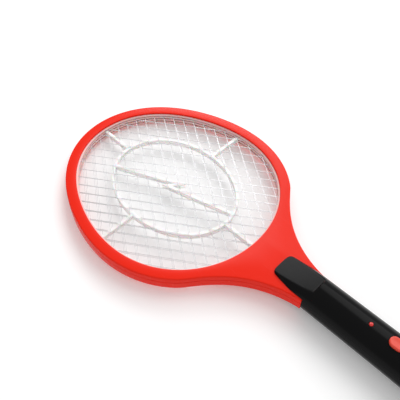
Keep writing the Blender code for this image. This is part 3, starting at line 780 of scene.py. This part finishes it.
BARREL = (
    (HANDLE_START, HANDLE_RADIUS), (205 * MM, 13.8 * MM), (260 * MM, 14.5 * MM), (315 * MM, 15.5 * MM),
    (340 * MM, BUTT_RADIUS), (353 * MM, BUTT_RADIUS), (354.6 * MM, 15.8 * MM), (356 * MM, 15.3 * MM),
    (357.4 * MM, 14.5 * MM), (358.6 * MM, 13.4 * MM), (359.5 * MM, 12.3 * MM), (HANDLE_END, 11.5 * MM),
)
TONGUE = tuple((TONGUE_START + x * MM, y * MM) for x, y in (
    (0, 4.2), (0.1, 5.6), (0.3, 7), (0.6, 8), (1.1, 8.8), (1.8, 9.4), (2.8, 9.9), (4.5, 10.3), (9, 11.1),
    (13, 11.8), (17, 12.5), (20, 13.1), (23, 13.6), (26, 14.2), (28, 14.8), (32, 16.5), (46, 24)))
FACET_EDGE = tuple((TONGUE_START + x * MM, y * MM) for x, y in (
    (0, 4), (0.1, 5.4), (0.3, 6.8), (0.6, 7.8), (1.1, 8.6), (1.8, 9.2), (2.8, 9.6), (6, 9.7), (11, 9.6),
    (20, 9.1), (26, 8.9), (31, 9.5), (35, 12), (46, 20)))
TOP_STEPS = 96
EDGE_STEPS = 6
BORE_STEPS = 40


def barrel_ring(x, facet, floor, hollow):
    """One cross-section of a handle half: over the outside, then back through the bore or the floor."""
    radius = along_points(BARREL, x)
    nose = floor > MM
    half_width = along_points(TONGUE, x)
    lean = (half_width - along_points(FACET_EDGE, x)) / max(facet - NOSE_EDGE, 0.9 * MM)
    side = half_width + lean * NOSE_EDGE
    power = bpy.context.scene.racket_handle.edge_power
    reach = min(half_width - lean * (floor - NOSE_EDGE), math.sqrt(radius**2 - floor**2))
    corner = math.atan2(floor, reach) if nose else math.asin(NOSE_EDGE / radius)
    ring = []
    for step in range(TOP_STEPS + 1):
        angle = corner + (math.pi - 2 * corner) * step / TOP_STEPS
        limits = (radius, side / (abs(math.cos(angle)) + lean * math.sin(angle)), facet / math.sin(angle))
        distance = sum(limit ** -power for limit in limits) ** (-1 / power)
        ring.append((distance * math.cos(angle), max(distance * math.sin(angle), floor)))
    left = ring[-1]
    for step in range(1, EDGE_STEPS + 1):
        share_done = step / EDGE_STEPS
        if nose:
            ring.append((left[0] * (1 - 0.15 * share_done), floor))
        else:
            angle = math.pi - corner + (corner - math.asin(floor / radius)) * share_done
            ring.append((radius * math.cos(angle), radius * math.sin(angle)))
    inner = radius - WALL
    roof = facet - ROOF
    for step in range(BORE_STEPS + 1):
        turn = math.pi * (1 - step / BORE_STEPS)
        if nose:
            ring.append((left[0] * 0.8 * (1 - 2 * step / BORE_STEPS), floor))
        elif hollow:
            distance = min(inner, roof / max(math.sin(turn), 0.01))
            ring.append((distance * math.cos(turn), max(distance * math.sin(turn), floor)))
        else:
            ring.append((inner * math.cos(turn), floor))
    right = [(-y, z) for y, z in ring[TOP_STEPS + 1:TOP_STEPS + 1 + EDGE_STEPS]]
    return [(x, y, z) for y, z in ring + right[::-1]]


def stations(*runs):
    """Distances along the handle: each run is (start, end, steps)."""
    found = []
    for start, end, steps in runs:
        found += [start + (end - start) * step / steps for step in range(steps)]
    return found + [runs[-1][1]]


def bulkhead():
    """The half wall that the battery spring rests on, with a notch at each side for a lead."""
    radius = along_points(BARREL, BULKHEAD[0]) - WALL - SLACK
    low = math.asin(NOTCH_TOP / radius)
    outline = [(NOTCH_SIDE, SPLIT), (NOTCH_SIDE, NOTCH_TOP)]
    for step in range(BORE_STEPS + 1):
        angle = low + (math.pi - 2 * low) * step / BORE_STEPS
        outline.append((radius * math.cos(angle), radius * math.sin(angle)))
    outline += [(-NOTCH_SIDE, NOTCH_TOP), (-NOTCH_SIDE, SPLIT)]
    return skin([[(x, y, z) for y, z in outline] for x in BULKHEAD])


def handle_half(name, floor, facet_start, side, end):
    """A handle half with its nose; side is 1 for the front and -1 for the rear, end is where it stops."""
    rings = []
    facet_top = FACET_TOP if side > 0 else REAR_FACET_TOP

    def facet(x):
        done = (x - TONGUE_START) / (FACET_END - TONGUE_START)
        step_up = max((x - FACET_END) / FACET_STEP, 0.0)
        return facet_start + (facet_top - facet_start) * done + FACET_STEP * step_up**2

    nose = [TONGUE_START + x * MM for x in (0, 0.05, 0.12, 0.3, 0.6, 1.1, 1.8, 2.8, 4.5)]
    nose += stations((117 * MM, 131 * MM, 14), (131.4 * MM, HANDLE_START, 20))
    for x in nose:
        rings.append(barrel_ring(x, facet(x), floor, False))
    runs = [(HANDLE_START, 147 * MM, 24), (147 * MM, 205 * MM, 20), (205 * MM, COVER_START, 16)]
    for x in stations(*runs):
        rings.append(barrel_ring(x, facet(x), SPLIT, True))
    if end > COVER_START:
        rings += butt_rings(COVER_START)
    points, faces = joined([skin(rings), bulkhead()])
    points = [(x, y, side * z) for x, y, z in points]
    return mesh_object(name, points, faces, 40.0)


def butt_rings(start):
    """The last part of a handle half, whose bore is closed by the butt."""
    bore_end = HANDLE_END - 1.9 * MM
    rings = []
    for x in stations((start + MM, 340 * MM, 30), (340 * MM, 353 * MM, 4), (353 * MM, bore_end, 8)):
        rings.append(barrel_ring(x, NO_FACET, SPLIT, True))
    for x in stations((bore_end, HANDLE_END, 4)):
        rings.append(barrel_ring(x, NO_FACET, SPLIT, False))
    return rings


class RACKET_OT_handle_shells(bpy.types.Operator):
    """Build the front and rear halves of the black handle, with the nose that laps over the neck"""
    bl_idname = "racket.handle_shells"
    bl_label = "Handle shells"

    def execute(self, context):
        front = handle_half("handle_front_half", NOSE_EDGE, LIP_HEIGHT + 1.2 * MM, 1, HANDLE_END)
        cut_holes(front, [
            round_pin(LIGHT_X, 0, 1.8 * MM, 8 * MM, 18 * MM),
            oblong_stack([(6.1 * MM, 4.2 * MM, z * MM) for z in (6, 18)], 12),
        ], 40.0)
        finish(front, black_handle(), "racket", "handle_black", "handle_front_shell")
        rear = handle_half("handle_rear_half", BACK_DEPTH + GAP, BACK_DEPTH + 1.3 * MM, -1, COVER_START)
        sinks = [round_pin(x, 0, HANDLE_SINK_RADIUS, -20 * MM, -7.3 * MM) for x in HANDLE_SCREWS]
        sinks.append(round_pin(NECK_SCREW_X, 0, HANDLE_SINK_RADIUS, -16 * MM, -9.3 * MM))
        cut_holes(rear, sinks, 40.0)
        finish(rear, black_handle(), "racket", "handle_black", "handle_rear_shell")
        return {"FINISHED"}


class RACKET_OT_battery_cover(bpy.types.Operator):
    """Build the battery cover with its latch and thumb ridges"""
    bl_idname = "racket.battery_cover"
    bl_label = "Battery cover"

    def execute(self, context):
        start = COVER_START + GAP
        rings = [barrel_ring(start, NO_FACET, SPLIT, True)] + butt_rings(COVER_START)
        points, faces = skin(rings)
        parts = [([(x, y, -z) for x, y, z in points], faces)]
        parts.append(block((start - 4.6 * MM, -3.6 * MM, -11 * MM), (start + 3 * MM, 3.6 * MM, -9.8 * MM)))
        parts.append(block((start + 0.2 * MM, -4 * MM, -13 * MM), (start + 5 * MM, 4 * MM, -9.4 * MM)))
        for number in range(5):
            x = start + (6 + 2.6 * number) * MM
            parts.append(thumb_ridge(x, (9 - number) * MM))
        cover = mesh_object("battery_cover_shell", *joined(parts), 40.0)
        finish(cover, black_handle(), "cover", "handle_black", "battery_cover")
        return {"FINISHED"}


def thumb_ridge(x, half_width):
    """A low ridge that follows the cover's round back."""
    radius = along_points(BARREL, x)
    spread = math.asin(half_width / radius)
    rings = []
    for step in range(21):
        turn = spread * (step / 10 - 1)
        rise = 0.5 * MM * math.sqrt(max(1 - (step / 10 - 1) ** 2, 0.01))
        ring = []
        for offset, lift in ((-0.7, -0.4 * MM), (-0.35, rise * 0.85), (0, rise), (0.35, rise * 0.85),
                             (0.7, -0.4 * MM)):
            reach = radius + lift
            ring.append((x + offset * MM, reach * math.sin(turn), -reach * math.cos(turn)))
        rings.append(ring)
    return skin(rings)


class RACKET_OT_button(bpy.types.Operator):
    """Build the push button's cap, flange and stem, and the indicator light's lens"""
    bl_idname = "racket.button"
    bl_label = "Button and light"

    def execute(self, context):
        cap = button_cap()
        red = plastic("Button_red", tuple(context.scene.racket_handle.button_red), polish=0.34, edge=0.06)
        finish(cap, red, "button", "button_red", "button_cap")
        turns = [2 * math.pi * step / 32 for step in range(32)]
        profile = (
            (10.2, 0.9), (10.2, 1.5), (13.4, 1.5), (13.9, 1.42), (14.3, 1.2), (14.6, 0.8), (14.78, 0.3),
        )
        rings = [[(LIGHT_X + r * MM * math.cos(a), r * MM * math.sin(a), z * MM) for a in turns]
                 for z, r in profile]
        lens = mesh_object("indicator_lens", *skin(rings), 40.0)
        clear_red = plastic("Clear_red_lens", (0.75, 0.02, 0.015), polish=0.08, cloud=0.1, edge=0.0,
                            bump=0.002, Coat_Weight=0.6)
        finish(lens, clear_red, "racket", "light_red", "indicator_led")
        return {"FINISHED"}


def button_cap():
    """Oblong cap with a dished top and rounded edge, above its flange and stem."""
    half_length, half_width = 5.8, 3.9
    levels = [(0, 9.2), (0, 14.5), (0.08, 14.8), (0.25, 15.02), (0.5, 15.15), (0.8, 15.2), (1.5, 15.1),
              (2.4, 14.95), (3.3, 14.88), (3.85, 14.86)]
    cap = oblong_stack([((half_length - r) * MM, (half_width - r) * MM, z * MM) for r, z in levels], 16)
    flange = oblong_stack([(7.2 * MM, 5 * MM, z * MM) for z in (8.8, 9.9)], 16)
    stem = round_pin(BUTTON_X, 0, 1.9 * MM, 5.7 * MM, 9.4 * MM)
    return mesh_object("push_button", *joined([cap, flange, stem]), 40.0)


# --- carried-over pieces ----------------------------------------------------------------------------

def inner_finishes():
    """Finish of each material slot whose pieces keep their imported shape."""
    return {
        "milky_white": milky_white,
        "spring_steel": lambda: metal("Nickel_spring_wire", (0.62, 0.61, 0.58), dull=0.22),
        "screw_steel": lambda: metal("Zinc_plated_screw", (0.56, 0.57, 0.6), dull=0.28, streak=0.2),
        "board_green": lambda: plastic("Green_solder_mask", (0.02, 0.16, 0.06), polish=0.3, cloud=0.5,
                                       grain=700.0, edge=0.2),
        "ferrite_grey": lambda: plastic("Pressed_ferrite", (0.04, 0.04, 0.042), polish=0.55, cloud=0.6,
                                        grain=2600.0, bump=0.05),
        "winding_tape": lambda: plastic("Yellow_winding_tape", (0.75, 0.58, 0.06), polish=0.35, cloud=0.25,
                                        grain=500.0, scuff=0.2),
        "capacitor_brown": lambda: plastic("Dipped_capacitor", (0.42, 0.09, 0.025), polish=0.22, cloud=0.3),
        "component_black": lambda: plastic("Moulded_epoxy", (0.022, 0.022, 0.024), polish=0.5, cloud=0.4,
                                           grain=2400.0, bump=0.04),
        "resistor_tan": lambda: plastic("Lacquered_resistor", (0.68, 0.52, 0.3), polish=0.4, cloud=0.3),
        "cell_sleeve": lambda: plastic("Shrink_sleeve", (0.03, 0.09, 0.26), polish=0.22, cloud=0.15,
                                       grain=500.0, Coat_Weight=0.4),
        "lead_red": lambda: plastic("Red_lead_sheath", (0.55, 0.03, 0.02), polish=0.45, cloud=0.15),
        "lead_black": lambda: plastic("Black_lead_sheath", (0.018, 0.018, 0.018), polish=0.45, cloud=0.3),
    }


class RACKET_OT_inner_finishes(bpy.types.Operator):
    """Give every carried-over piece the finish of its material slot"""
    bl_idname = "racket.inner_finishes"
    bl_label = "Inner finishes"

    def execute(self, context):
        finishes = inner_finishes()
        for part in frame["record"]["subparts"]:
            piece = frame["nodes"][part["node"]]
            if piece.hide_render:
                continue
            made = finishes[part["material_slot"]]()
            piece.data.materials.clear()
            piece.data.materials.append(made)
        return {"FINISHED"}


# --- stage ------------------------------------------------------------------------------------------

class RACKET_OT_stage(bpy.types.Operator):
    """Build the pale floor, the soft lights and the camera"""
    bl_idname = "racket.stage"
    bl_label = "Stage"

    def execute(self, context):
        settings = context.scene.racket_stage
        scene = context.scene
        scene.view_settings.view_transform = "Standard"
        mesh = bpy.data.meshes.new("floor")
        form = bmesh.new()
        bmesh.ops.create_grid(form, x_segments=8, y_segments=8, size=4.0)
        form.to_mesh(mesh)
        form.free()
        floor = bpy.data.objects.new("floor", mesh)
        scene.collection.objects.link(floor)
        tip = Vector((CAD_BOX[0].x, AXIS_Z - BACK_DEPTH))
        heel = Vector((HEAD_X + HANDLE_START, AXIS_Z - HANDLE_RADIUS))
        fall = (tip.y - heel.y) / (heel.x - tip.x)
        floor.rotation_euler.y = math.atan(fall)
        floor.location.z = tip.y + fall * tip.x - 0.05 * MM
        pale = plastic("Pale_floor", tuple(settings.floor_white), polish=0.9, cloud=0.004, edge=0.0,
                       scuff=0.0, bump=0.0, Specular_IOR_Level=0.0, Emission_Strength=settings.glow,
                       Emission_Color=(1, 1, 1, 1))
        mesh.materials.append(pale)

        world = bpy.data.worlds.new("even_sky")
        world.use_nodes = True
        background = world.node_tree.nodes["Background"]
        background.inputs["Color"].default_value = (1, 1, 1, 1)
        background.inputs["Strength"].default_value = settings.sky
        scene.world = world

        sun = bpy.data.lights.new("soft_key", "SUN")
        sun.energy = settings.key
        sun.angle = settings.key_spread
        key = bpy.data.objects.new("soft_key", sun)
        scene.collection.objects.link(key)
        key.rotation_euler = Vector(KEY_FROM).to_track_quat("Z", "Y").to_euler()

        panel = bpy.data.lights.new("soft_box", "AREA")
        panel.shape = "DISK"
        panel.size = SOFT_BOX_SIZE
        panel.energy = settings.box
        box = bpy.data.objects.new("soft_box", panel)
        scene.collection.objects.link(box)
        away = Vector(SOFT_BOX_FROM).normalized()
        box.location = Vector(SOFT_BOX_AIM) + away * SOFT_BOX_DISTANCE
        box.rotation_euler = away.to_track_quat("Z", "Y").to_euler()

        lens = bpy.data.cameras.new("camera")
        lens.lens = settings.lens
        lens.sensor_width = 36.0
        lens.clip_start = 0.01
        lens.clip_end = 20.0
        camera = bpy.data.objects.new("camera", lens)
        scene.collection.objects.link(camera)
        camera.location = CAMERA_PLACE
        camera.rotation_euler = CAMERA_TURN
        scene.camera = camera
        return {"FINISHED"}


class RACKET_PT_sidebar(bpy.types.Panel):
    """Lists the racket's settings and the operators that build it"""
    bl_label = "Battery insect racket"
    bl_idname = "RACKET_PT_sidebar"
    bl_space_type = "VIEW_3D"
    bl_region_type = "UI"
    bl_category = "Racket"

    def draw(self, context):
        layout = self.layout
        for name in SETTINGS:
            group = getattr(context.scene, name)
            box = layout.box()
            for key in group.bl_rna.properties.keys():
                if key not in ("rna_type", "name"):
                    box.prop(group, key)
        for operator in OPERATORS:
            layout.operator(operator.bl_idname)


SETTINGS = {
    "racket_head": HeadSettings,
    "racket_net": NetSettings,
    "racket_handle": HandleSettings,
    "racket_stage": StageSettings,
}
OPERATORS = (
    RACKET_OT_stage,
    RACKET_OT_head_shells,
    RACKET_OT_net_rings,
    RACKET_OT_wheels,
    RACKET_OT_nets,
    RACKET_OT_handle_shells,
    RACKET_OT_battery_cover,
    RACKET_OT_button,
    RACKET_OT_inner_finishes,
)
CLASSES = (*SETTINGS.values(), *OPERATORS, RACKET_PT_sidebar)


def register():
    for item in CLASSES:
        bpy.utils.register_class(item)
    for name, group in SETTINGS.items():
        setattr(bpy.types.Scene, name, PointerProperty(type=group))


def unregister():
    for name in SETTINGS:
        delattr(bpy.types.Scene, name)
    for item in reversed(CLASSES):
        bpy.utils.unregister_class(item)


def main():
    register()
    for operator in OPERATORS:
        family, name = operator.bl_idname.split(".")
        getattr(getattr(bpy.ops, family), name)()


if __name__ == "__main__":
    main()
